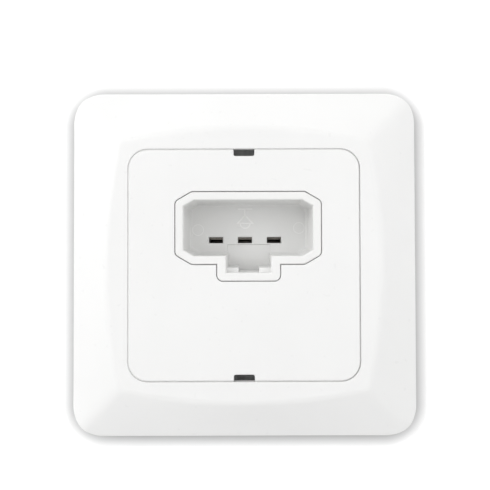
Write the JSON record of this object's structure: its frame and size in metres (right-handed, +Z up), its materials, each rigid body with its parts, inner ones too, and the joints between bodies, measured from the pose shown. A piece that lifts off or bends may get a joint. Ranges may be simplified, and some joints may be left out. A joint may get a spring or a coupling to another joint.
{
  "type": "luminaire wall outlet",
  "caption": "Flush wall outlet for a flat luminaire plug: square frame with sloped border, centre plate, and a chamfered recess with keyway and blade slots.",
  "frame": {"origin": "on the wall plane, midway between the two box screw slots", "axes": "+Y into the wall, +Z up, +X to the right as seen from the room"},
  "size_m": [0.085, 0.0311, 0.085],
  "materials": {
    "white_plastic": "satin moulded white",
    "insert_plastic": "semi-gloss moulded white",
    "base_plastic": "matt moulded light grey",
    "zinc_steel": "zinc-plated sheet",
    "plated_brass": "tin-plated strip",
    "spring_steel": "bright spring steel",
    "cage_steel": "zinc-plated clamp",
    "screw_steel": "zinc-plated screw"
  },
  "bodies": {
    "root": {"base_screw_left": "screw_steel", "base_screw_right": "screw_steel", "centre_plate": "white_plastic", "contact_earth": "plated_brass", "contact_live": "plated_brass", "contact_neutral": "plated_brass", "contact_spring_earth": "spring_steel", "contact_spring_live": "spring_steel", "contact_spring_neutral": "spring_steel", "cover_frame": "white_plastic", "flange_screw_left": "screw_steel", "flange_screw_right": "screw_steel", "outlet_housing": "insert_plastic", "support_frame": "zinc_steel", "terminal_base": "base_plastic", "terminal_cage_earth": "cage_steel", "terminal_cage_live": "cage_steel", "terminal_cage_neutral": "cage_steel", "terminal_screw_earth": "screw_steel", "terminal_screw_live": "screw_steel", "terminal_screw_neutral": "screw_steel"}
  },
  "joints": []
}
